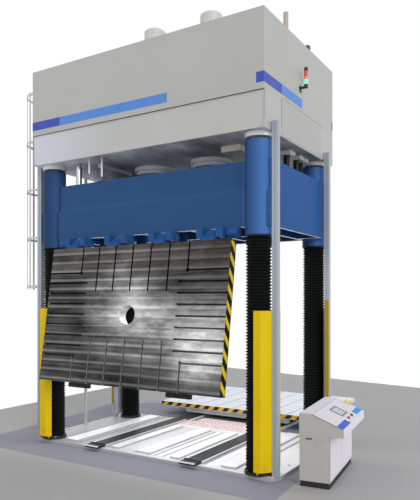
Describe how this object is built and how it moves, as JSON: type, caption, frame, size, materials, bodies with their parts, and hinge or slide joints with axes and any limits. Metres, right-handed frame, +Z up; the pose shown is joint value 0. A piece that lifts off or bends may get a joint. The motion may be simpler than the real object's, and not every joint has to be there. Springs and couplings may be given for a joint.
{
  "type": "four-column hydraulic press",
  "caption": "Four-column hydraulic press with a tilting T-slotted upper platen, a run-out lower table, sheathed columns, a boxed crown and a desk console.",
  "frame": {"origin": "on the floor, at the centre of the four columns, under the bed plate", "axes": "+Z up, +X to the machine's right, front with the hanging platen towards -Y, table parked towards +Y"},
  "size_m": [6.2227, 6.1203, 7.426],
  "materials": {
    "painted_light": "satin, light grey paint",
    "painted_crown": "satin, warm grey paint",
    "painted_blue": "satin, blue paint",
    "painted_dark": "semi-matt, dark grey paint",
    "painted_yellow": "satin, yellow paint",
    "painted_console": "fine textured paint",
    "milled_steel": "milled, unpainted",
    "ground_steel": "ground",
    "hard_chrome": "polished",
    "black_oxide": "black finished",
    "aluminium": "clear anodised",
    "bronze": "machined",
    "bellows_fabric": "coated black cloth",
    "wiper_rubber": "matt",
    "cast_housing": "painted casting",
    "galvanised": "light grey paint",
    "black_plastic": "matt",
    "red_plastic": "gloss",
    "yellow_plastic": "gloss",
    "red_lens": "clear lens",
    "amber_lens": "clear lens",
    "green_lens": "clear lens",
    "screen_glass": "screen in a dark bezel"
  },
  "bodies": {
    "frame": {"beam_covers": "painted_crown", "bed_plate": "painted_light", "bellows": "bellows_fabric", "bellows_bases": "painted_dark", "button_collars": "black_plastic", "cage_hoops": "galvanised", "cage_strips": "galvanised", "column_collars": "painted_light", "column_guards": "painted_yellow", "column_nuts": "black_oxide", "columns": "hard_chrome", "console_cabinet": "painted_console", "console_hood": "painted_console", "console_plinth": "painted_dark", "console_screen": "screen_glass", "corner_posts": "aluminium", "crown_beam": "painted_light", "crown_housing": "painted_crown", "crown_pipes": "galvanised", "crown_roof": "painted_crown", "cylinder_glands": "painted_light", "floor_bars": "painted_light", "grating_panel": "painted_light", "ladder": "galvanised", "lock_units": "painted_light", "main_cylinders": "painted_light", "oil_pump": "cast_housing", "oil_tank": "painted_light", "pump_motor": "cast_housing", "rear_track_beams": "painted_light", "roof_vents": "aluminium", "side_conduit": "galvanised", "table_tracks": "ground_steel", "tower_amber_lamp": "amber_lens", "tower_base": "black_plastic", "tower_green_lamp": "green_lens", "tower_red_lamp": "red_lens", "track_stops": "painted_dark", "valve_block": "ground_steel"},
    "ram": {"crosshead": "painted_blue", "guide_bushes": "bronze", "wiper_seals": "wiper_rubber", "piston_rods": "hard_chrome", "lock_rods": "black_oxide", "measuring_rod": "hard_chrome", "hinge_brackets": "painted_blue", "tilt_actuators": "painted_blue"},
    "platen": {"upper_platen": "milled_steel", "platen_knuckles": "ground_steel", "hinge_pins": "ground_steel", "platen_pads": "painted_dark"},
    "table": {"lower_table": "milled_steel", "table_carriage": "painted_light", "table_gearmotor": "cast_housing"},
    "front_wheels": {"front_wheelset": "ground_steel"},
    "rear_wheels": {"rear_wheelset": "ground_steel"},
    "start_push": {"start_button": "red_plastic"},
    "stop_push": {"stop_button": "red_plastic"},
    "selector_knob_1": {"selector_1": "yellow_plastic"},
    "selector_knob_2": {"selector_2": "yellow_plastic"}
  },
  "joints": [
    {"name": "ram_stroke", "type": "slide", "parent": "frame", "child": "ram", "axis": [0, 0, -1], "range_m": [0, 0.85], "deforming": ["bellows"]},
    {"name": "platen_tilt", "type": "hinge", "parent": "ram", "child": "platen", "pos_m": [0, -1.14, 3.47], "axis": [1, 0, 0], "range_deg": [0, 98.64]},
    {"name": "table_travel", "type": "slide", "parent": "frame", "child": "table", "axis": [0, -1, 0], "range_m": [0, 2.9]},
    {"name": "front_wheels_roll", "type": "hinge", "parent": "table", "child": "front_wheels", "pos_m": [0, 2.305, 0.1303], "axis": [1, 0, 0], "continuous": true},
    {"name": "rear_wheels_roll", "type": "hinge", "parent": "table", "child": "rear_wheels", "pos_m": [0, 3.765, 0.1303], "axis": [1, 0, 0], "continuous": true},
    {"name": "start_press", "type": "slide", "parent": "frame", "child": "start_push", "axis": [-0.3691, -0.0408, -0.9285], "range_m": [0, 0.006], "stiffness_N_per_m": 600, "springref_m": -0.002},
    {"name": "stop_press", "type": "slide", "parent": "frame", "child": "stop_push", "axis": [-0.3691, -0.0408, -0.9285], "range_m": [0, 0.006], "stiffness_N_per_m": 600, "springref_m": -0.002},
    {"name": "selector_1_turn", "type": "hinge", "parent": "frame", "child": "selector_knob_1", "pos_m": [2.85541, 0.26603, 0.92243], "axis": [0.3691, 0.0408, 0.9285], "range_deg": [-45, 45]},
    {"name": "selector_2_turn", "type": "hinge", "parent": "frame", "child": "selector_knob_2", "pos_m": [2.91079, 0.27215, 0.90015], "axis": [0.3691, 0.0408, 0.9285], "range_deg": [-45, 45]}
  ],
  "couplings": [
    {"joint": "front_wheels_roll", "follows": "table_travel", "rad_per_m": 18.182},
    {"joint": "rear_wheels_roll", "follows": "table_travel", "rad_per_m": 18.182}
  ]
}
